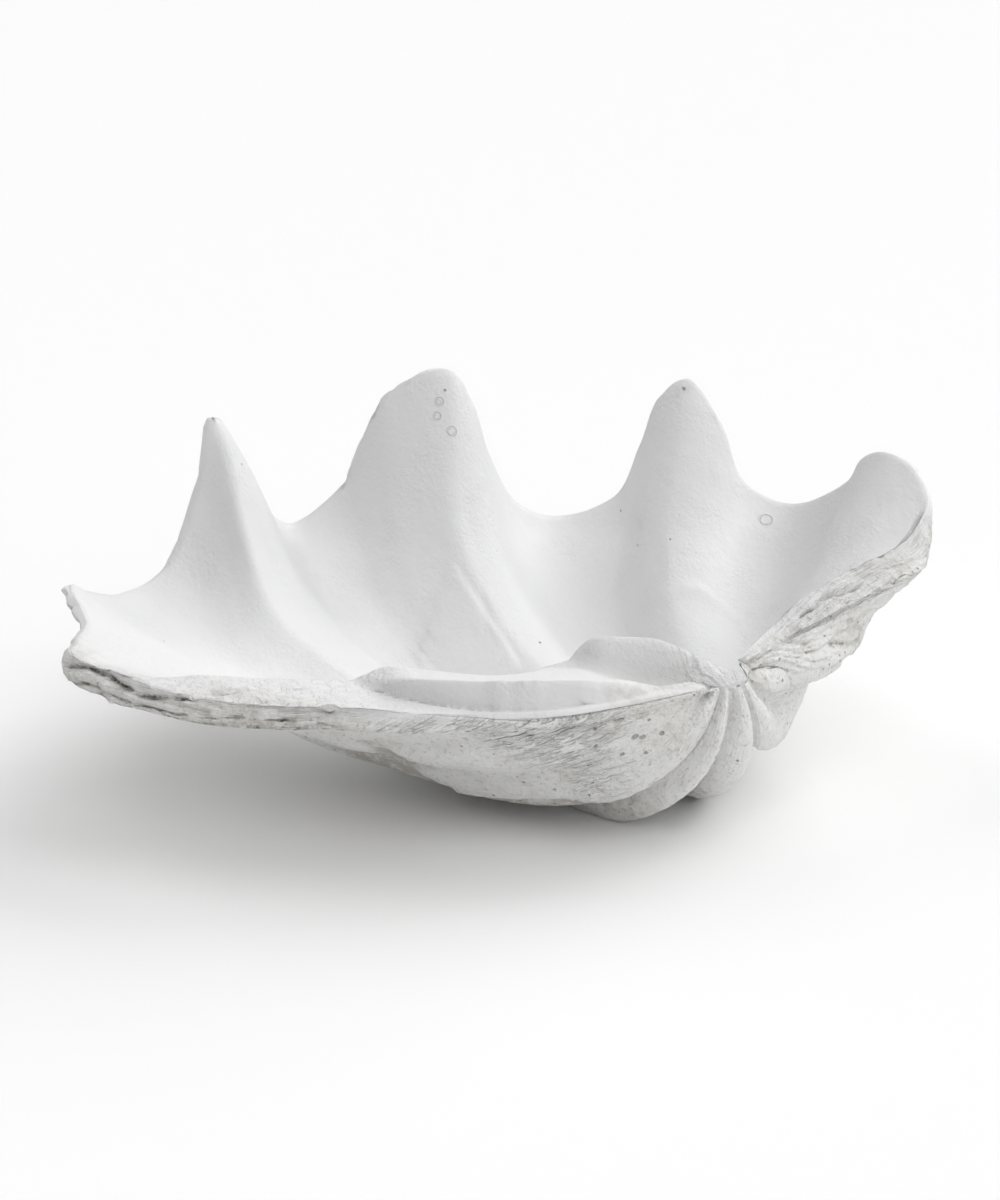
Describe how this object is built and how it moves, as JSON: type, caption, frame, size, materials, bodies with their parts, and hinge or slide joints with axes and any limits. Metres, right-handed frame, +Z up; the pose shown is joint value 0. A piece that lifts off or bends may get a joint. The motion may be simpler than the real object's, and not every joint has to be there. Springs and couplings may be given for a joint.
{
  "type": "clam shell",
  "caption": "Open half of a giant clam shell with tall fluted rim teeth and a hinge plate, resting on its ribs as a decorative bowl.",
  "frame": {"origin": "on the surface the shell rests on, under the middle of its overall box", "axes": "+X along the hinge and the longest extent, from the broad wing towards the umbo end, +Y from the hinge to the far rim with its tall teeth, +Z up with the hollow facing up"},
  "size_m": [0.5624, 0.4008, 0.222],
  "materials": {
    "shell": "matt white, chalky and slightly pitted, like plaster or bleached shell"
  },
  "bodies": {
    "root": {"shell_valve": "shell"}
  },
  "joints": []
}
